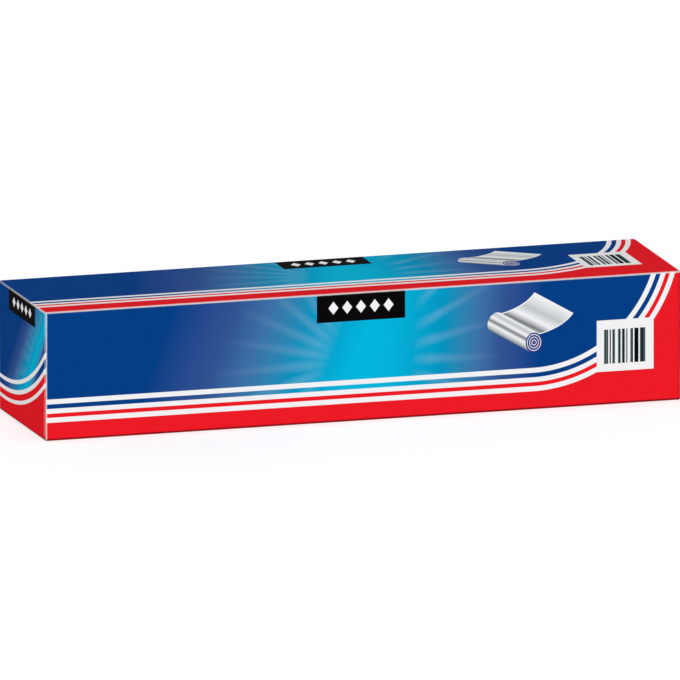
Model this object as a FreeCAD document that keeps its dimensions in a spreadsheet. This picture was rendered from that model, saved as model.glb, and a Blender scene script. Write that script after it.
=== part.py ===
import FreeCAD, Part
import math
import os

import Sketcher

# Sealed carton for a wide roll of kitchen foil: one creased board blank, wrapped round it and glued shut.
# X runs along the roll, the front faces -Y, +Z is up and the origin is the middle of the base.
# The pack can't be seen into, so the board, the foil and its core are one solid.

# Driving sizes: millimetres, and degrees for the lean
SIZES = {
    # Over the outer end flaps, from the back to the front lap, and from the base to the lid
    "carton_length": 475.0,
    "carton_depth": 114.0,
    "carton_height": 94.0,
    # Board, and the outside radius of a crease in it
    "board_thickness": 0.6,
    "crease_radius": 1.0,
    # The lid's front lap stops this far above the crease between the front and the base
    "lap_clearance": 0.4,
    # The outer end flaps stop this far short of the creases beside them, lean in and have rounded corners
    "flap_clearance": 0.4,
    "flap_lean": 1.0,
    "flap_corner_radius": 4.0,
}


def make_sheet(document):
    """Put the driving sizes in a sheet, each in a named cell."""
    sheet = document.addObject("Spreadsheet::Sheet", "sizes")
    for row, (name, value) in enumerate(SIZES.items(), start=1):
        sheet.set(f"A{row}", name)
        sheet.set(f"B{row}", str(value))
        sheet.setAlias(f"B{row}", name)
    document.recompute()
    return sheet


class Sizes:
    """The sheet's sizes by name, for the points that the sketches start from."""

    def __init__(self, sheet):
        for name in SIZES:
            setattr(self, name, float(sheet.get(name)))


def origin_plane(body, role):
    return next(item for item in body.Origin.OriginFeatures if item.Role == role)


def start(piece):
    """The first point of a line or an arc, as a sketch's rules name it."""
    return piece, 1


def end(piece):
    """The last point of a line or an arc."""
    return piece, 2


def origin():
    """The sketch's own origin."""
    return -1, 1


def across_axis():
    """The sketch's own horizontal axis."""
    return (-1,)


def up_axis():
    """The sketch's own upright axis."""
    return (-2,)


class Outline:
    """A closed sketch on one of the body's own planes, with its sizes tied to the sheet."""

    def __init__(self, body, name, role):
        self.sketch = body.newObject("Sketcher::SketchObject", name)
        self.sketch.AttachmentSupport = [(origin_plane(body, role), "")]
        self.sketch.MapMode = "FlatFace"

    def line(self, first, last):
        return self.sketch.addGeometry(Part.LineSegment(FreeCAD.Vector(*first, 0), FreeCAD.Vector(*last, 0)))

    def arc(self, centre, radius, first_degrees, last_degrees):
        circle = Part.Circle(FreeCAD.Vector(*centre, 0), FreeCAD.Vector(0, 0, 1), radius)
        sweep = math.radians(first_degrees), math.radians(last_degrees)
        return self.sketch.addGeometry(Part.ArcOfCircle(circle, *sweep))

    def rule(self, kind, *places):
        self.sketch.addConstraint(Sketcher.Constraint(kind, *places))

    def size(self, kind, places, start_value, formula):
        """Add a dimension that follows a formula of the sheet's sizes."""
        number = self.sketch.addConstraint(Sketcher.Constraint(kind, *places, start_value))
        self.sketch.setExpression(f"Constraints[{number}]", formula)


def wrap_section(body, size):
    """The four long panels, seen along the roll."""
    half_depth = size.carton_depth / 2
    outline = Outline(body, "wrap_section", "YZ_Plane")
    base = outline.line((-half_depth, 0), (half_depth, 0))
    back = outline.line((half_depth, 0), (half_depth, size.carton_height))
    lid = outline.line((half_depth, size.carton_height), (-half_depth, size.carton_height))
    front = outline.line((-half_depth, size.carton_height), (-half_depth, 0))
    for panel, following in ((base, back), (back, lid), (lid, front), (front, base)):
        outline.rule("Coincident", *end(panel), *start(following))
    outline.rule("Symmetric", *start(base), *end(base), *origin())
    outline.rule("Horizontal", lid)
    outline.rule("Vertical", back)
    outline.rule("Vertical", front)
    outline.rule("Horizontal", base)
    outline.size("DistanceX", (*start(base), *end(base)), size.carton_depth, "sizes.carton_depth")
    outline.size("DistanceY", (*start(back), *end(back)), size.carton_height, "sizes.carton_height")
    return outline.sketch


def lap_relief(body, size):
    """What is open under the front lap's free edge: a step one board deep, over the rounded base crease."""
    outside = -size.carton_depth / 2
    inside = outside + size.board_thickness
    radius = size.crease_radius
    lap_edge_height = radius + size.lap_clearance
    outline = Outline(body, "lap_relief", "YZ_Plane")
    reach = outline.line((outside, 0), (outside, lap_edge_height))
    edge = outline.line((outside, lap_edge_height), (inside, lap_edge_height))
    front = outline.line((inside, lap_edge_height), (inside, radius))
    crease = outline.arc((inside + radius, radius), radius, 180, 270)
    base = outline.line((inside + radius, 0), (outside, 0))
    outline.rule("Coincident", *end(reach), *start(edge))
    outline.rule("Coincident", *end(edge), *start(front))
    outline.rule("Tangent", *end(front), *start(crease))
    outline.rule("Tangent", *end(crease), *start(base))
    outline.rule("Coincident", *end(base), *start(reach))
    for upright in (reach, front):
        outline.rule("Vertical", upright)
    for level in (edge, base):
        outline.rule("Horizontal", level)
    outline.rule("PointOnObject", *start(reach), *across_axis())
    outline.size("DistanceX", (*start(reach), *origin()), -outside, "sizes.carton_depth / 2")
    outline.size("DistanceX", (*start(edge), *end(edge)), size.board_thickness, "sizes.board_thickness")
    outline.size("Radius", (crease,), radius, "sizes.crease_radius")
    outline.size("DistanceY", (*start(reach), *end(reach)), lap_edge_height,
                 "sizes.crease_radius + sizes.lap_clearance")
    return outline.sketch


def end_flap(body, size):
    """The outer end flap, glued over the end: it hangs from the lid and narrows towards its free edge."""
    margin = size.crease_radius + size.flap_clearance
    half_width = size.carton_depth / 2 - margin
    height = size.carton_height
    radius = size.flap_corner_radius
    lean = math.radians(size.flap_lean)
    # Centre of a free corner's arc, and where that arc leaves the leaning side
    centre_up = margin + radius
    centre_across = half_width - (height - centre_up) * math.tan(lean) - radius / math.cos(lean)
    side_across = centre_across + radius * math.cos(lean)
    side_up = centre_up - radius * math.sin(lean)
    outline = Outline(body, "end_flap", "YZ_Plane")
    top = outline.line((half_width, height), (-half_width, height))
    front_side = outline.line((-half_width, height), (-side_across, side_up))
    front_corner = outline.arc((-centre_across, centre_up), radius, 180 + size.flap_lean, 270)
    foot = outline.line((-centre_across, margin), (centre_across, margin))
    back_corner = outline.arc((centre_across, centre_up), radius, 270, 360 - size.flap_lean)
    back_side = outline.line((side_across, side_up), (half_width, height))
    outline.rule("Coincident", *end(top), *start(front_side))
    outline.rule("Tangent", *end(front_side), *start(front_corner))
    outline.rule("Tangent", *end(front_corner), *start(foot))
    outline.rule("Tangent", *end(foot), *start(back_corner))
    outline.rule("Tangent", *end(back_corner), *start(back_side))
    outline.rule("Coincident", *end(back_side), *start(top))
    outline.rule("Symmetric", *start(top), *end(top), *up_axis())
    outline.rule("Symmetric", *start(foot), *end(foot), *up_axis())
    outline.rule("Equal", front_corner, back_corner)
    outline.size("DistanceX", (*end(top), *start(top)), 2 * half_width,
                 "sizes.carton_depth - 2 * (sizes.crease_radius + sizes.flap_clearance)")
    outline.size("DistanceY", (*origin(), *start(top)), height, "sizes.carton_height")
    outline.size("DistanceY", (*origin(), *start(foot)), margin, "sizes.crease_radius + sizes.flap_clearance")
    outline.size("Radius", (front_corner,), radius, "sizes.flap_corner_radius")
    outline.size("Angle", (front_side,), lean - math.pi / 2, "sizes.flap_lean - 90")
    return outline.sketch


def flap_crease(body, size):
    """The corner that the rounded crease leaves off, where an end flap turns down from the lid."""
    outside = size.carton_length / 2
    height = size.carton_height
    radius = size.crease_radius
    outline = Outline(body, "flap_crease", "XZ_Plane")
    level = outline.line((outside, height), (outside - radius, height))
    crease = outline.arc((outside - radius, height - radius), radius, 0, 90)
    upright = outline.line((outside, height - radius), (outside, height))
    outline.rule("Coincident", *end(upright), *start(level))
    outline.rule("Tangent", *end(level), *end(crease))
    outline.rule("Tangent", *start(crease), *start(upright))
    outline.rule("Horizontal", level)
    outline.rule("Vertical", upright)
    outline.size("DistanceX", (*origin(), *start(level)), outside, "sizes.carton_length / 2")
    outline.size("DistanceY", (*origin(), *start(level)), height, "sizes.carton_height")
    outline.size("Radius", (crease,), radius, "sizes.crease_radius")
    return outline.sketch


def pad_both_ways(body, name, sketch, formula):
    """Pad a sketch equally to both sides of its plane."""
    pad = body.newObject("PartDesign::Pad", name)
    pad.Profile = sketch
    pad.SideType = "Symmetric"
    pad.setExpression("Length", formula)
    return pad


def pocket_both_ways(body, name, sketch):
    """Cut a sketch through everything on both sides of its plane."""
    pocket = body.newObject("PartDesign::Pocket", name)
    pocket.Profile = sketch
    pocket.SideType = "Symmetric"
    pocket.Type = "ThroughAll"
    return pocket


def build_carton(document, sheet):
    """Wrap the panels, round their creases, open the lap's free edge and put the flaps over the ends."""
    size = Sizes(sheet)
    body = document.addObject("PartDesign::Body", "foil_carton")
    body.Label = "foil_carton"
    block_length = "sizes.carton_length - 2 * sizes.board_thickness"
    wrap = pad_both_ways(body, "wrap", wrap_section(body, size), block_length)
    document.recompute()

    creases = body.newObject("PartDesign::Fillet", "creases")
    creases.Base = (wrap, [f"Edge{number + 1}" for number in range(len(wrap.Shape.Edges))])
    creases.setExpression("Radius", "sizes.crease_radius")
    document.recompute()

    lap = pocket_both_ways(body, "front_lap", lap_relief(body, size))
    document.recompute()

    flaps = pad_both_ways(body, "end_flaps", end_flap(body, size), "sizes.carton_length")
    document.recompute()

    right_crease = pocket_both_ways(body, "right_flap_crease", flap_crease(body, size))
    document.recompute()

    both_creases = body.newObject("PartDesign::Mirrored", "flap_creases")
    both_creases.Originals = [right_crease]
    both_creases.MirrorPlane = (origin_plane(body, "YZ_Plane"), [""])
    body.Tip = both_creases
    document.recompute()

    check_cuts(wrap, creases, lap)
    check_cuts(flaps, right_crease, both_creases)
    return body


def check_cuts(*features):
    """Each feature has to take something off the one before it."""
    for before, after in zip(features, features[1:]):
        if after.Shape.Volume >= before.Shape.Volume:
            raise RuntimeError(f"{after.Label} cuts nothing")


def check_document(document, body):
    """Stop if a feature has failed, or if the carton is not one valid solid."""
    for item in document.Objects:
        if "Invalid" in item.State or "Error" in item.State:
            raise RuntimeError(f"{item.Label} has failed: {item.State}")
    shape = body.Shape
    if shape.isNull() or not shape.isValid() or len(shape.Solids) != 1:
        raise RuntimeError(f"{body.Label} is not one valid solid")


document = FreeCAD.newDocument("foil_roll_carton")
carton = build_carton(document, make_sheet(document))
check_document(document, carton)
os.makedirs("parts", exist_ok=True)
carton.Shape.exportStep(f"parts/{carton.Label}.step")
box = carton.Shape.BoundBox
print(f"{carton.Label}: {box.XLength:.2f} x {box.YLength:.2f} x {box.ZLength:.2f} mm, "
      f"{carton.Shape.Volume / 1000:.1f} cm3, {len(carton.Shape.Faces)} faces")
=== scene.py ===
import math

import bmesh
import bpy
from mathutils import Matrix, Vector


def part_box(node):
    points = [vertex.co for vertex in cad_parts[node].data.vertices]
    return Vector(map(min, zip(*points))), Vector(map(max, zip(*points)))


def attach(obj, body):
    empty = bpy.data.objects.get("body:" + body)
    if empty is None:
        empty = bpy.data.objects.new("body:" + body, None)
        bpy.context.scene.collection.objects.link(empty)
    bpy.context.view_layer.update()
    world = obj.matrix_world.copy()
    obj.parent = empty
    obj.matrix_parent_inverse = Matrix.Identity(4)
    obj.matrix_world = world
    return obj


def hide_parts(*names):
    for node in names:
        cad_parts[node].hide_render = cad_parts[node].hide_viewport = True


# Sealed carton of a wide foil roll, in metres. The front faces -Y and the left end faces -X.

NODE = "foil_carton"

# Board and folds, as in the solid
BOARD = 0.0006
CREASE = 0.001
LAP_CLEARANCE = 0.0004
FLAP_CLEARANCE = 0.0004
FLAP_LEAN = math.radians(1.0)
FLAP_CORNER = 0.004
CREASE_STEPS = 8

# Print colours, as sRGB numbers from 0 to 255
FIELD_BLUE = (3, 63, 135)
GLOW_CORE = (2, 185, 223)
GLOW_RIM = (2, 169, 211)
GLOW_TEAL = (3, 149, 194)
GLOW_HAZE = (50, 130, 178)
GLOW_VIOLET = (62, 112, 168)
GLOW_DUSK = (50, 86, 149)
GLOW_EDGE = (38, 75, 143)
RAY_WHITE = (205, 226, 240)
STRIPE_RED = (238, 28, 39)
STRIPE_WHITE = (247, 247, 249)
PANEL_BLACK = (9, 7, 8)
LABEL_WHITE = (247, 247, 248)
BAR_BLACK = (5, 12, 14)
BAR_GREY = (84, 108, 113)
# Bare board on the worn creases, which on the front and left-top creases is also a painted highlight
BARE_BOARD_AND_HIGHLIGHT = (236, 234, 231)
CUT_BOARD_DARK = (190, 168, 150)
CUT_BOARD_LIGHT = (222, 207, 194)
# Painted shade: the dark red of the line along the foot and down the front's right edge
PAINTED_SHADE_RED = (84, 10, 14)
SILVER_LIGHT = (246, 248, 249)
SILVER_MIDDLE = (194, 200, 203)
SILVER_DARK = (112, 119, 124)
RING_BLUE = (40, 44, 132)

# Print layout in millimetres. Along is from the left end, up is from the base.
PRINT_SOFTNESS = 0.25
# The lid's print is the front's, with this stretch and then this shift along and up
LID_STRETCH = (1.007, 0.847)
LID_SHIFT = (-4.3, -2.0)
STRIPE_FOCUS = (363.7, 124.3)
STRIPE_BAND = (93.8, 110.9)
# The inks of the stripes in their order. None is the field behind them.
STRIPE_INKS = (STRIPE_WHITE, None, STRIPE_WHITE, STRIPE_RED, STRIPE_WHITE, STRIPE_RED)
# Where each ink starts, as a share of the band
LONG_SHARES = (0.0, 0.21, 0.405, 0.61, 0.785, 1.0)
END_SHARES = (0.01, 0.175, 0.415, 0.585, 0.835, 0.985)
# The stripes of an end widen between two arcs: the middle and the radius of each
END_ARCS = ((9.5, 138.4, 111.2), (13.5, 135.9, 125.7))
# A light burst: its middle along and up, its lean for each millimetre up, and its reach to the left and right
FRONT_GLOW = (238, 36, 0.2, 152, 122)
END_GLOW = (67.5, 45, 0.66, 42, 12)
# How much of its reach a burst gains on both sides for each millimetre down
GLOW_SPREAD = 0.0012
# A burst fades evenly to the left, and by this power to the right
GLOW_RIGHT_POWER = 1.4
# The colours of a burst at shares of its reach, with the two ends first
GLOW_STOPS = (
    (0.0, GLOW_CORE),
    (1.0, FIELD_BLUE),
    (0.12, GLOW_RIM),
    (0.29, GLOW_TEAL),
    (0.42, GLOW_HAZE),
    (0.53, GLOW_VIOLET),
    (0.68, GLOW_DUSK),
    (0.83, GLOW_EDGE),
)
# The faint rays of a burst: where they meet, along and up, and how strong they are
FRONT_RAYS = (232, 44, 0.15)
END_RAYS = (98, 54, 0.1)
# The angle from each ray to the next, the same to the left and the right of the vertical
RAY_STEP = math.tau / 25.5
RAY_HALF_WIDTH = 3.0
RAY_SOFTNESS = 5.0
# What divides the width of a ray: where the rays meet, and what each millimetre outwards adds
RAY_TAPER_START = 0.6
RAY_TAPER = 0.01
# Where the rays come in and where they go out, as shares of the burst's reach, each with its softness
RAYS_IN = (0.17, 0.1)
RAYS_OUT = (0.38, 0.64)
# The dark panels: their left, right and lower edges
DARK_PANEL = (202.8, 268.8, 73.4)
END_DARK_PANEL = (20.8, 73.6, 78.0)
# How far a dark panel is drawn past the upper crease, so that it has no edge there
PANEL_OVERRUN = 1
# The lozenges on a dark panel: how many, and their step, width and height as shares of the panel's height
LOZENGES = 5
LOZENGE_STEP = 0.5
LOZENGE_WIDTH = 0.36
LOZENGE_HEIGHT = 0.46
LOZENGE_SOFTNESS = 0.08
# The label and the field of its bars: their left, right, lower and upper edges
LABEL = (411.8, 454.2, 24.3, 61.8)
BARS = (417.3, 448.1, 29.9, 54.9)
# The bars' even steps, the share of them that is inked, and where their random numbers start
BAR_STEPS = 30
BAR_SHARE = 0.64
BAR_SEED = 2147
BAR_SOFTNESS = 0.01
# The random number at which a bar turns from black to grey, and how softly it does
BAR_TURN = (0.6, 0.5)
# The picture of an unrolled foil. Its roll: the middle of its near end, its axis and its radius
ROLL_END = (365, 49)
ROLL_AXIS = (-29, 17)
ROLL_RADIUS = 7.3
# How far the far end bulges, as a share of the radius
ROLL_BULGE = 0.7
# The near end is seen aslant: what multiplies the squares of its sideways distances
ROLL_SQUEEZE = 1.35
# The rings on the near end: how many, and the inked share of each, from and to, with its softness
ROLL_RINGS = 3.7
RING_INK = (0.12, 0.82, 0.2)
# Its sheet: the way that it runs, the depth of its sag and its pale rim as a share of it
SHEET_RUN = (26, 14)
SHEET_SAG = 3.0
SHEET_RIM = 0.03
# How high above the roll's axis the sheet starts, in radii, and the share of its run that lies over the roll
SHEET_LIFT = 0.9
SHEET_OVERLAP = 0.05
# Where the sheet starts in the bands of silver, and how far its run and its width go on in them
SHEET_SHEEN = (0.36, 0.62, 0.04)
# The bands of silver from 0 to 1 across them, with the two ends first
SILVER_STOPS = (
    (0.0, SILVER_DARK),
    (1.0, SILVER_LIGHT),
    (0.14, SILVER_MIDDLE),
    (0.30, SILVER_LIGHT),
    (0.46, SILVER_DARK),
    (0.62, SILVER_LIGHT),
    (0.80, SILVER_MIDDLE),
)

# Wear, with a painted highlight on the front and left-top creases and painted shade at the foot and the right
# edge: its reach in millimetres, the softness of its edge and its strength
# The front and left-top creases: wear with a painted highlight
FRONT_WEAR_AND_HIGHLIGHT = (0.75, 0.9, 0.72)
LEFT_TOP_WEAR_AND_HIGHLIGHT = (0.6, 0.9, 0.72)
OTHER_WEAR = (0.4, 0.8, 0.12)
# The next two are painted shade: a dark line along the foot, and one down the front's right upright crease
# where it turns from the light
FOOT_SHADE = (1.6, 1.2, 0.68)
RIGHT_EDGE_SHADE = (1.8, 2.4, 0.4)
# The upper front crease is worn and carries its painted highlight further over the lid than down the front:
# the scales across and down
FRONT_TOP_SCALES = (0.5, 1.4)
# How much strength the wear and painted highlight over the left end lose for each millimetre back
LEFT_TOP_HIGHLIGHT_LOSS = 0.0035
# The ragged edge of the wear: how fine it is, and how far it wanders
RAGGED_SCALE = 420.0
RAGGED_REACH = 0.6

# Finish of the board: the scale of each kind of unevenness, then its range and its least value
FIBRE_SCALE = 900.0
SMUDGE_SCALE = 500.0
SMUDGE = (0.5, 0.4)
MOTTLE_SCALE = 90.0
MOTTLE = (0.1, 0.95)
ROUGHNESS_SCALE = 60.0
ROUGHNESS = (0.16, 0.76)
SPECULAR = 0.015
GRAIN_SCALE = 1400.0
GRAIN_STRENGTH = 0.15
GRAIN_HEIGHT = 0.0002

# The photograph's view: its turn towards the left end, its rise, the width that it shows and its distance
VIEW_TURN = math.radians(-16.96)
VIEW_RISE = math.radians(12.42)
VIEW_WIDTH = 0.4856
VIEW_DISTANCE = 1.5

# The key light: its direction from the carton, its strength and its softness in degrees
KEY_DIRECTION = (-0.41, -0.82, 0.41)
KEY_STRENGTH = 1.77
KEY_SOFTNESS = 25
# The even light from all round, and what the background has beyond it where it is seen
EVEN_LIGHT = 0.5
SEEN_LIGHT = 0.5
FLOOR_HALF = 4.0
FLOOR_DROP = 0.00005
FLOOR_GREY = 0.7
FLOOR_ROUGHNESS = 0.9
FLOOR_GLOW = 0.5

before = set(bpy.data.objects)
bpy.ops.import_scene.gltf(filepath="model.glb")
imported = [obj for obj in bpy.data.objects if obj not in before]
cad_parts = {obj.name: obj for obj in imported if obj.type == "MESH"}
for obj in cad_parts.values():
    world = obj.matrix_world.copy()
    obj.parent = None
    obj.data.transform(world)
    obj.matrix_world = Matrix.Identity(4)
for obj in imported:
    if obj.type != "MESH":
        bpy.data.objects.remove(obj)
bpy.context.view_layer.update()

low, high = (Vector(corner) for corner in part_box(NODE))
LENGTH = high.x - low.x
FRONT = low.y
BACK = high.y
DEPTH = BACK - FRONT
TOP = high.z
END = LENGTH / 2 - BOARD
LAP_EDGE = CREASE + LAP_CLEARANCE
FLAP_HALF = DEPTH / 2 - CREASE - FLAP_CLEARANCE
# The sizes of the print, in millimetres
PER_MM = 1000.0
PRINT_LENGTH = LENGTH * PER_MM
PRINT_DEPTH = DEPTH * PER_MM
PRINT_TOP = TOP * PER_MM
# Vertices that are closer than this are one, and a turn sharper than this is an edge
SAME_PLACE = 1e-7
SHARP = math.radians(30)


def arc_points(centre, radius, first, last):
    """Points along an arc, from the first angle to the last, in degrees."""
    points = []
    for step in range(CREASE_STEPS + 1):
        angle = math.radians(first + (last - first) * step / CREASE_STEPS)
        points.append((centre[0] + radius * math.cos(angle), centre[1] + radius * math.sin(angle)))
    return points


def wrap_profile(inset):
    """Outline of the wrapped panels, seen along the roll and drawn in by the inset."""
    radius = CREASE - inset
    lap = FRONT + CREASE
    tray = lap + BOARD
    back = BACK - CREASE
    lid = TOP - CREASE
    points = arc_points((tray, CREASE), radius, 180, 270)
    points += arc_points((back, CREASE), radius, 270, 360)
    points += arc_points((back, lid), radius, 0, 90)
    points += [(FLAP_HALF, TOP - inset), (-FLAP_HALF, TOP - inset)]
    points += arc_points((lap, lid), radius, 90, 180)
    points += [(FRONT + inset, LAP_EDGE), (FRONT + BOARD + inset, LAP_EDGE)]
    return points


# The two points of the profile between which the end flaps hang from the lid
FLAP_BACK = 3 * (CREASE_STEPS + 1)
FLAP_FRONT = FLAP_BACK + 1


def flap_outline():
    """Free outline of an end flap below its crease, from the back round the foot to the front."""
    centre_up = LAP_EDGE + FLAP_CORNER
    drop = (TOP - centre_up) * math.tan(FLAP_LEAN)
    centre_across = FLAP_HALF - drop - FLAP_CORNER / math.cos(FLAP_LEAN)
    lean = math.degrees(FLAP_LEAN)
    back_corner = arc_points((centre_across, centre_up), FLAP_CORNER, -lean, -90)
    front_corner = arc_points((-centre_across, centre_up), FLAP_CORNER, -90, lean - 180)
    return back_corner + front_corner


def add_face(mesh, corners, material=0):
    """Add a face. A printed face gets its own panel's material later."""
    face = mesh.faces.new(corners)
    face.material_index = material


def add_end(mesh, rings, side):
    """Close one end with the outer flap, its cut edges and the rim that it leaves open."""
    top_of_flap = LENGTH / 2 - CREASE
    crests = {}
    for column, across in ((FLAP_BACK, FLAP_HALF), (FLAP_FRONT, -FLAP_HALF)):
        crest = []
        for out, up in arc_points((top_of_flap, TOP - CREASE), CREASE, 90, 0):
            crest.append(mesh.verts.new((side * out, across, up)))
        crests[column] = crest
        add_face(mesh, [ring[column] for ring in rings] + crest[::-1], CUT_EDGE)
    back_line = [rings[0][FLAP_BACK]] + crests[FLAP_BACK]
    front_line = [rings[0][FLAP_FRONT]] + crests[FLAP_FRONT]
    for step in range(len(back_line) - 1):
        add_face(mesh, [back_line[step], back_line[step + 1], front_line[step + 1], front_line[step]])
    free = flap_outline()
    outer = [mesh.verts.new((side * LENGTH / 2, across, up)) for across, up in free]
    inner = [mesh.verts.new((side * END, across, up)) for across, up in free]
    outer = [crests[FLAP_BACK][-1]] + outer + [crests[FLAP_FRONT][-1]]
    inner = [rings[-1][FLAP_BACK]] + inner + [rings[-1][FLAP_FRONT]]
    add_face(mesh, outer)
    for step in range(len(outer) - 1):
        add_face(mesh, [outer[step], outer[step + 1], inner[step + 1], inner[step]], CUT_EDGE)
    add_face(mesh, inner + rings[-1][FLAP_FRONT + 1:] + rings[-1][:FLAP_BACK])


PANELS = ("front", "back", "lid", "base", "left_end", "right_end", "cut_edge")
FRONT_PANEL, BACK_PANEL, LID, BASE, LEFT_END, RIGHT_END, CUT_EDGE = range(len(PANELS))


def panel_of(face):
    """The panel that a face belongs to: the one that it faces most nearly."""
    along, across, up = face.normal
    largest = max(abs(along), abs(across), abs(up))
    if largest == abs(across):
        return FRONT_PANEL if across < 0 else BACK_PANEL
    if largest == abs(up):
        return LID if up > 0 else BASE
    return LEFT_END if along < 0 else RIGHT_END


# Bake layout in metres: one row for each long panel, then one with the two ends side by side
ROW_GAP = 0.002
# How far the cut edges lie beside their panel on the sheet
EDGE_SHIFT = 0.003
HALF_ROW = LENGTH / 2 + EDGE_SHIFT
SHEET_SIDE = 3 * (TOP + ROW_GAP) + 2 * (DEPTH + ROW_GAP)


def place_on_sheet(panel, spot):
    """Where a point of a panel lies on the flat bake sheet."""
    tall_row = TOP + ROW_GAP
    deep_row = DEPTH + ROW_GAP
    if panel == FRONT_PANEL:
        return spot.x + HALF_ROW, spot.z
    if panel == BACK_PANEL:
        return spot.x + HALF_ROW, tall_row + spot.z
    if panel == LID:
        return spot.x + HALF_ROW, 2 * tall_row + spot.y - FRONT
    if panel == BASE:
        return spot.x + HALF_ROW, 2 * tall_row + deep_row + spot.y - FRONT
    shift = 0 if panel == LEFT_END else deep_row
    return shift + spot.y - FRONT, 2 * tall_row + 2 * deep_row + spot.z


def unwrap(mesh):
    """Lay the panels out flat for the bake, with the cut edges moved clear of them."""
    layer = mesh.loops.layers.uv.new("OFBake")
    for face in mesh.faces:
        panel = panel_of(face)
        edge_shift = 0
        if face.material_index == CUT_EDGE and panel in (FRONT_PANEL, BACK_PANEL):
            edge_shift = math.copysign(EDGE_SHIFT, face.calc_center_median().x)
        for loop in face.loops:
            across, up = place_on_sheet(panel, loop.vert.co)
            loop[layer].uv = ((across + edge_shift) / SHEET_SIDE, up / SHEET_SIDE)


def make_carton(materials):
    """The folded carton: wrapped panels with rounded creases, the lap's free edge and two end flaps."""
    mesh = bmesh.new()
    turns = arc_points((END - CREASE, CREASE), CREASE, -90, 0)
    rings = []
    for out, inset in [(-out, inset) for out, inset in reversed(turns)] + turns:
        rings.append([mesh.verts.new((out, across, up)) for across, up in wrap_profile(inset)])
    columns = len(rings[0])
    lap_cut = columns - 2
    middle = CREASE_STEPS
    for station in range(len(rings) - 1):
        for column in range(columns):
            if column == FLAP_BACK and station != middle:
                continue
            following = (column + 1) % columns
            near, far = rings[station], rings[station + 1]
            corners = [near[column], near[following], far[following], far[column]]
            add_face(mesh, corners, CUT_EDGE if column == lap_cut else 0)
    add_end(mesh, rings[middle::-1], -1)
    add_end(mesh, rings[middle + 1:], 1)
    bmesh.ops.remove_doubles(mesh, verts=mesh.verts, dist=SAME_PLACE)
    bmesh.ops.recalc_face_normals(mesh, faces=mesh.faces)
    for face in mesh.faces:
        face.smooth = True
        if face.material_index != CUT_EDGE:
            face.material_index = panel_of(face)
    unwrap(mesh)
    data = bpy.data.meshes.new("carton")
    mesh.to_mesh(data)
    mesh.free()
    data.set_sharp_from_angle(angle=SHARP)
    for name in PANELS:
        data.materials.append(materials[name])
    carton = bpy.data.objects.new("carton", data)
    bpy.context.collection.objects.link(carton)
    weighted = carton.modifiers.new("panel_shading", "WEIGHTED_NORMAL")
    weighted.keep_sharp = True
    return carton


def linear(colour):
    """An sRGB colour of 0 to 255 as the linear colour that a shader takes."""
    shares = []
    for number in colour:
        share = number / 255
        shares.append(share / 12.92 if share <= 0.04045 else ((share + 0.055) / 1.055) ** 2.4)
    return (*shares, 1.0)


class Field:
    """A number that changes over the surface. Sums, products and steps of fields are fields too."""

    def __init__(self, tree, socket):
        self.tree = tree
        self.socket = socket

    def math(self, operation, *others, clamp=False):
        node = self.tree.nodes.new("ShaderNodeMath")
        node.operation = operation
        node.use_clamp = clamp
        self.tree.links.new(self.socket, node.inputs[0])
        for place, other in enumerate(others, start=1):
            if isinstance(other, Field):
                self.tree.links.new(other.socket, node.inputs[place])
            else:
                node.inputs[place].default_value = other
        return Field(self.tree, node.outputs[0])

    def __add__(self, other):
        return self.math("ADD", other)

    def __sub__(self, other):
        return self.math("SUBTRACT", other)

    def __mul__(self, other):
        return self.math("MULTIPLY", other)

    def __truediv__(self, other):
        return self.math("DIVIDE", other)

    def least(self, other):
        return self.math("MINIMUM", other)

    def most(self, other):
        return self.math("MAXIMUM", other)

    def root(self):
        return self.math("SQRT")

    def magnitude(self):
        return self.math("ABSOLUTE")

    def flipped(self):
        """1 where the field is 0, and 0 where it is 1."""
        return self.math("MULTIPLY_ADD", -1.0, 1.0)

    def over(self, edge, softness=PRINT_SOFTNESS):
        """1 where the field is over the edge and 0 under it, with a soft change between."""
        return self.math("MULTIPLY_ADD", 1 / softness, 0.5 - edge / softness, clamp=True)

    def between(self, first, last, softness=PRINT_SOFTNESS):
        return self.over(first, softness) - self.over(last, softness)

    def ramp(self, stops):
        """A colour that changes with the field, through stops of a place and a colour."""
        node = self.tree.nodes.new("ShaderNodeValToRGB")
        elements = node.color_ramp.elements
        for number, (place, colour) in enumerate(stops):
            element = elements[number] if number < 2 else elements.new(place)
            element.position = place
            element.color = linear(colour)
        self.tree.links.new(self.socket, node.inputs["Fac"])
        return node.outputs["Color"]


def distance(across, up, centre):
    """How far each point is from a centre."""
    side = across - centre[0]
    rise = up - centre[1]
    return (side * side + rise * rise).root()


def rectangle(across, up, box):
    """1 inside the box, and 0 outside it."""
    return across.between(box[0], box[1]) * up.between(box[2], box[3])


def plain(place, colour):
    """One colour, in the tree that the field belongs to."""
    node = place.tree.nodes.new("ShaderNodeRGB")
    node.outputs[0].default_value = linear(colour)
    return node.outputs[0]


# The sockets of a mix node that take its two colours, and the one that gives the mixed colour
MIX_INPUTS = (6, 7)
MIX_OUTPUT = 2


def blend(share, under, over):
    """The colour under, covered by the colour over to the share that the field gives."""
    tree = share.tree
    node = tree.nodes.new("ShaderNodeMix")
    node.data_type = "RGBA"
    tree.links.new(share.socket, node.inputs[0])
    for place, colour in zip(MIX_INPUTS, (under, over)):
        if isinstance(colour, tuple):
            node.inputs[place].default_value = linear(colour)
        else:
            tree.links.new(colour, node.inputs[place])
    return node.outputs[MIX_OUTPUT]


def noise(tree, scale, detail=2.0):
    """Even noise from 0 to 1 in space."""
    node = tree.nodes.new("ShaderNodeTexNoise")
    node.inputs["Scale"].default_value = scale
    node.inputs["Detail"].default_value = detail
    coordinates = tree.nodes.new("ShaderNodeTexCoord")
    tree.links.new(coordinates.outputs["Object"], node.inputs["Vector"])
    return Field(tree, node.outputs[0])


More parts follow.
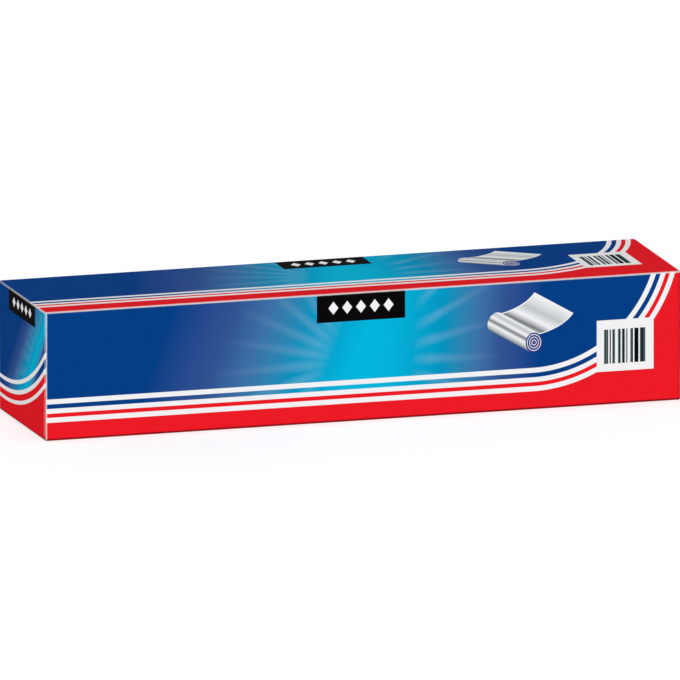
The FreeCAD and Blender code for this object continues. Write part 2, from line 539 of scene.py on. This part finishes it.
def dice(place):
    """A random number from 0 to 1 for each whole step of the field."""
    node = place.tree.nodes.new("ShaderNodeTexWhiteNoise")
    node.noise_dimensions = "1D"
    place.tree.links.new(place.math("FLOOR").socket, node.inputs["W"])
    return Field(place.tree, node.outputs["Value"])


def print_fields(tree):
    """Along, across and up as fields in millimetres, from the left end, the front and the base."""
    coordinates = tree.nodes.new("ShaderNodeTexCoord")
    separate = tree.nodes.new("ShaderNodeSeparateXYZ")
    tree.links.new(coordinates.outputs["Object"], separate.inputs[0])
    starts = (LENGTH / 2, -FRONT, 0)
    fields = [Field(tree, socket) for socket in separate.outputs]
    return [field.math("MULTIPLY_ADD", PER_MM, start * PER_MM) for field, start in zip(fields, starts)]


def stripes(field_colour, place, starts, softness):
    """The stripes and the red band under them, by the share of the way across the stripes."""
    colour = field_colour
    for ink, start in zip(STRIPE_INKS, starts):
        colour = blend(place.over(start, softness), colour, ink or field_colour)
    return colour


def long_stripes(field_colour, along, up):
    """Stripes that are level on the left, and sweep up round their focus on the right."""
    outwards = distance((along - STRIPE_FOCUS[0]).most(0) + STRIPE_FOCUS[0], up, STRIPE_FOCUS)
    width = STRIPE_BAND[1] - STRIPE_BAND[0]
    return stripes(field_colour, (outwards - STRIPE_BAND[0]) / width, LONG_SHARES, PRINT_SOFTNESS / width)


def end_stripes(field_colour, along, up):
    """Stripes that rise and widen between two arcs."""
    upper, lower = END_ARCS
    below_upper = distance(along, up, upper) - upper[2]
    above_lower = distance(along, up, lower).flipped() + (lower[2] - 1)
    width = below_upper + above_lower
    softness = PRINT_SOFTNESS / (STRIPE_BAND[1] - STRIPE_BAND[0])
    return stripes(field_colour, below_upper / width, END_SHARES, softness)


def glow(along, up, burst, rays):
    """A light burst in the blue field, with faint rays that fan out of it."""
    middle, start, lean, left_reach, right_reach = burst
    rise = up - start
    offset = along - rise * lean - middle
    spread = up.math("MULTIPLY_ADD", -GLOW_SPREAD, GLOW_SPREAD * PRINT_TOP)
    right_fade = (offset * (1 / right_reach) - spread).most(0).math("POWER", GLOW_RIGHT_POWER)
    fade = (offset * (-1 / left_reach) - spread).most(right_fade)
    ray_middle, ray_start, ray_strength = rays
    angle = (along - ray_middle).magnitude().math("ARCTAN2", up - ray_start)
    radius = distance(along, up, (ray_middle, ray_start))
    aside = ((angle * (1 / RAY_STEP)).math("FRACT") - 0.5).magnitude() * RAY_STEP * radius
    taper = radius.math("MULTIPLY_ADD", RAY_TAPER, RAY_TAPER_START)
    fan = (aside * taper).over(RAY_HALF_WIDTH, RAY_SOFTNESS).flipped()
    reach = fade.over(*RAYS_IN) * fade.over(*RAYS_OUT).flipped()
    return blend(fan * reach * ray_strength, fade.ramp(GLOW_STOPS), RAY_WHITE)


def dark_panel(colour, along, up, box):
    """A dark panel that hangs from the upper crease, with a row of plain lozenges."""
    left, right, bottom = box
    height = PRINT_TOP - bottom
    panel = rectangle(along, up, (left, right, bottom, PRINT_TOP + PANEL_OVERRUN))
    step = height * LOZENGE_STEP
    place = (along - (left + right) / 2) * (1 / step) + LOZENGES / 2
    aside = (place.math("FRACT") - 0.5).magnitude() * (2 * step / (height * LOZENGE_WIDTH))
    rise = (up - (bottom + height / 2)).magnitude() * (2 / (height * LOZENGE_HEIGHT))
    lozenges = (aside + rise).over(1, LOZENGE_SOFTNESS).flipped() * place.between(0, LOZENGES)
    return blend(lozenges, blend(panel, colour, PANEL_BLACK), STRIPE_WHITE)


def label(colour, along, up):
    """A white label with a plain pattern of bars of random widths and greys."""
    colour = blend(rectangle(along, up, LABEL), colour, LABEL_WHITE)
    place = (along - BARS[0]) * (BAR_STEPS / (BARS[1] - BARS[0])) + BAR_SEED
    bars = dice(place).over(1 - BAR_SHARE, BAR_SOFTNESS)
    ink = blend(dice(place + BAR_STEPS).over(*BAR_TURN), BAR_BLACK, BAR_GREY)
    return blend(rectangle(along, up, BARS) * bars, colour, ink)


def foil_picture(colour, along, up):
    """A simple drawing of a foil roll with its end unrolled to the right."""
    axis_length = math.hypot(*ROLL_AXIS)
    axis = (ROLL_AXIS[0] / axis_length, ROLL_AXIS[1] / axis_length)
    side = along - ROLL_END[0]
    rise = up - ROLL_END[1]

    # Sheet: shares of its run and its width, in a slanted frame. It sags most in the middle of its run.
    slant = ROLL_AXIS[0] * SHEET_RUN[1] - ROLL_AXIS[1] * SHEET_RUN[0]
    lift = ROLL_RADIUS * SHEET_LIFT
    from_start = side + axis[1] * -lift
    above_start = rise + axis[0] * lift
    flat_run = (above_start * ROLL_AXIS[0] - from_start * ROLL_AXIS[1]) / slant
    sagged = above_start + flat_run * flat_run.flipped() * (4 * SHEET_SAG)
    run = (sagged * ROLL_AXIS[0] - from_start * ROLL_AXIS[1]) / slant
    width = (from_start * SHEET_RUN[1] - sagged * SHEET_RUN[0]) / slant
    soft = PRINT_SOFTNESS / axis_length
    sheet = run.between(-SHEET_OVERLAP, 1, soft) * width.between(0, 1, soft)
    inner = run.between(-SHEET_OVERLAP, 1 - SHEET_RIM, soft) * width.between(SHEET_RIM, 1 - SHEET_RIM, soft)
    start_sheen, run_sheen, width_sheen = SHEET_SHEEN
    sheen = run * run_sheen + start_sheen + width * width_sheen
    colour = blend(sheet, colour, SILVER_LIGHT)
    colour = blend(inner, colour, sheen.ramp(SILVER_STOPS))

    # Roll: its length has a round far end
    soft = PRINT_SOFTNESS / ROLL_RADIUS
    length = side * axis[0] + rise * axis[1]
    offset = (rise * axis[0] - side * axis[1]) / -ROLL_RADIUS
    bulge = (offset * offset).flipped().most(0).root() * (ROLL_RADIUS * ROLL_BULGE)
    tube = offset.between(-1, 1, soft) * length.over(0) * (length - bulge).over(axis_length).flipped()
    colour = blend(tube, colour, (offset * 0.5 + 0.5).ramp(SILVER_STOPS))

    # Near end: rings of wound foil
    outwards = ((side * side) * ROLL_SQUEEZE + rise * rise).root() / ROLL_RADIUS
    rings = (outwards * ROLL_RINGS).math("FRACT").between(*RING_INK)
    ring_colour = blend(rings, SILVER_LIGHT, RING_BLUE)
    return blend(outwards.over(1, soft).flipped(), colour, ring_colour)


def long_print(along, up):
    """The print of the front, which the lid repeats."""
    colour = long_stripes(glow(along, up, FRONT_GLOW, FRONT_RAYS), along, up)
    colour = foil_picture(colour, along, up)
    return label(dark_panel(colour, along, up, DARK_PANEL), along, up)


def end_print(from_left, up):
    """The print of an end. It is laid out on a square, so its length is squeezed to the panel's height."""
    along = from_left * (TOP / DEPTH)
    colour = end_stripes(glow(along, up, END_GLOW, END_RAYS), along, up)
    return dark_panel(colour, along, up, END_DARK_PANEL)


def front_print(along, across, up):
    return long_print(along, up)


def lid_print(along, across, up):
    lid_along = along.math("MULTIPLY_ADD", LID_STRETCH[0], LID_SHIFT[0])
    lid_up = across.math("MULTIPLY_ADD", LID_STRETCH[1], LID_SHIFT[1])
    return long_print(lid_along, lid_up)


def back_print(along, across, up):
    """Plain blue over the stripes, read from behind."""
    return long_stripes(plain(along, FIELD_BLUE), along * -1 + PRINT_LENGTH, up)


def base_print(along, across, up):
    return plain(along, STRIPE_RED)


def left_print(along, across, up):
    return end_print(across * -1 + PRINT_DEPTH, up)


def right_print(along, across, up):
    return end_print(across, up)


def cut_print(along, across, up):
    """Bare board that the ink of an end has smudged."""
    board = blend(noise(up.tree, FIBRE_SCALE), CUT_BOARD_DARK, CUT_BOARD_LIGHT)
    smudge = noise(up.tree, SMUDGE_SCALE).math("MULTIPLY_ADD", *SMUDGE)
    return blend(smudge, board, left_print(along, across, up))


def within(distances, reach, softness, strength):
    """The strength, a number or a field, where the distances are under the reach, and 0 beyond it."""
    return distances.over(reach, softness).flipped() * strength


def wear_and_painted_light(colour, along, across, up):
    """The colour with its wear and painted light: cracked ink on the creases, a painted highlight on the
    front and left-top creases, and painted shade at the foot and the right edge.
    """
    from_right = along * -1 + PRINT_LENGTH
    from_back = across * -1 + PRINT_DEPTH
    from_top = up * -1 + PRINT_TOP
    ragged = noise(along.tree, RAGGED_SCALE, detail=4.0) * RAGGED_REACH

    # Clear cracks with a painted highlight at the front and the left, those over the left end fading towards
    # the back
    left_upright = (along - BOARD * PER_MM / 2).most(across)
    front_top = (across * FRONT_TOP_SCALES[0]).most(from_top * FRONT_TOP_SCALES[1])
    front = within(left_upright.least(front_top) - ragged, *FRONT_WEAR_AND_HIGHLIGHT)
    reach, softness, strength = LEFT_TOP_WEAR_AND_HIGHLIGHT
    left_top_wear_and_highlight = within(along.most(from_top) - ragged, reach, softness, across * -LEFT_TOP_HIGHLIGHT_LOSS + strength)

    # Faint cracks on the other upper creases
    nearest = from_top.most(along.least(from_right).least(from_back))
    faint = within(nearest - ragged, *OTHER_WEAR)

    # Painted shade darkens the foot and the front's right edge
    painted_shade = within(up, *FOOT_SHADE).most(within(from_right.most(across), *RIGHT_EDGE_SHADE))
    # Bare board covers the worn creases, and on the front and left-top creases it is a painted highlight
    return blend(front.most(left_top_wear_and_highlight).most(faint), blend(painted_shade, colour, PAINTED_SHADE_RED), BARE_BOARD_AND_HIGHLIGHT)


def board_material(name, print_colour):
    """Coated board with a printed colour, a fine grain and a soft sheen."""
    material = bpy.data.materials.new(name)
    material.use_nodes = True
    tree = material.node_tree
    shader = tree.nodes["Principled BSDF"]
    places = print_fields(tree)
    colour = wear_and_painted_light(print_colour(*places), *places)
    mottle = tree.nodes.new("ShaderNodeHueSaturation")
    tree.links.new(colour, mottle.inputs["Color"])
    brightness = noise(tree, MOTTLE_SCALE, detail=5.0).math("MULTIPLY_ADD", *MOTTLE)
    tree.links.new(brightness.socket, mottle.inputs["Value"])
    tree.links.new(mottle.outputs["Color"], shader.inputs["Base Color"])
    shader.inputs["Specular IOR Level"].default_value = SPECULAR
    roughness = noise(tree, ROUGHNESS_SCALE).math("MULTIPLY_ADD", *ROUGHNESS)
    tree.links.new(roughness.socket, shader.inputs["Roughness"])
    bump = tree.nodes.new("ShaderNodeBump")
    bump.inputs["Strength"].default_value = GRAIN_STRENGTH
    bump.inputs["Distance"].default_value = GRAIN_HEIGHT
    grain = noise(tree, GRAIN_SCALE, detail=3.0)
    tree.links.new(grain.socket, bump.inputs["Height"])
    tree.links.new(bump.outputs["Normal"], shader.inputs["Normal"])
    return material


def make_camera(middle):
    """The photograph's view: no perspective, turned towards the left end and a little from above."""
    back = Vector((
        math.sin(VIEW_TURN) * math.cos(VIEW_RISE),
        -math.cos(VIEW_TURN) * math.cos(VIEW_RISE),
        math.sin(VIEW_RISE),
    ))
    data = bpy.data.cameras.new("camera")
    data.type = "ORTHO"
    data.ortho_scale = VIEW_WIDTH
    camera = bpy.data.objects.new("camera", data)
    camera.location = middle + back * VIEW_DISTANCE
    camera.rotation_euler = back.to_track_quat("Z", "Y").to_euler()
    bpy.context.collection.objects.link(camera)
    bpy.context.scene.camera = camera


def make_sun(name, direction, strength, softness):
    """A soft light from far away. The direction points from the object to the light."""
    data = bpy.data.lights.new(name, "SUN")
    data.energy = strength
    data.angle = math.radians(softness)
    light = bpy.data.objects.new(name, data)
    light.rotation_euler = Vector(direction).to_track_quat("Z", "Y").to_euler()
    bpy.context.collection.objects.link(light)


def seen_directly(tree):
    """1 for the camera's own rays and for mirrored and refracted ones, else 0."""
    path = tree.nodes.new("ShaderNodeLightPath")
    camera = Field(tree, path.outputs["Is Camera Ray"])
    glossy = Field(tree, path.outputs["Is Glossy Ray"])
    through = Field(tree, path.outputs["Is Transmission Ray"])
    return camera.most(glossy).most(through)


def make_world():
    """Even light from all round, with a white background."""
    world = bpy.data.worlds.new("studio")
    world.use_nodes = True
    bpy.context.scene.world = world
    tree = world.node_tree
    background = tree.nodes["Background"]
    background.inputs["Color"].default_value = (1, 1, 1, 1)
    strength = seen_directly(tree).math("MULTIPLY_ADD", SEEN_LIGHT, EVEN_LIGHT)
    tree.links.new(strength.socket, background.inputs["Strength"])


def make_floor():
    """A plain pale floor that keeps the carton's shadow."""
    mesh = bpy.data.meshes.new("floor")
    signs = ((-1, -1), (1, -1), (1, 1), (-1, 1))
    corners = [(along * FLOOR_HALF, across * FLOOR_HALF, 0) for along, across in signs]
    mesh.from_pydata(corners, [], [(0, 1, 2, 3)])
    floor = bpy.data.objects.new("floor", mesh)
    floor.location.z = -FLOOR_DROP
    bpy.context.collection.objects.link(floor)
    material = bpy.data.materials.new("floor")
    material.use_nodes = True
    tree = material.node_tree
    shader = tree.nodes["Principled BSDF"]
    shader.inputs["Base Color"].default_value = (FLOOR_GREY, FLOOR_GREY, FLOOR_GREY, 1)
    shader.inputs["Roughness"].default_value = FLOOR_ROUGHNESS
    shader.inputs["Specular IOR Level"].default_value = 0.0
    shader.inputs["Emission Color"].default_value = (1, 1, 1, 1)
    glow_strength = seen_directly(tree) * FLOOR_GLOW
    tree.links.new(glow_strength.socket, shader.inputs["Emission Strength"])
    mesh.materials.append(material)


PRINTS = {
    "front": front_print,
    "back": back_print,
    "lid": lid_print,
    "base": base_print,
    "left_end": left_print,
    "right_end": right_print,
    "cut_edge": cut_print,
}

bpy.context.scene.view_settings.view_transform = "Standard"
make_camera((low + high) / 2)
make_world()
make_sun("key_light", KEY_DIRECTION, KEY_STRENGTH, KEY_SOFTNESS)
make_floor()

carton = make_carton({name: board_material(name, PRINTS[name]) for name in PANELS})
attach(carton, "root")
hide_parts(NODE)
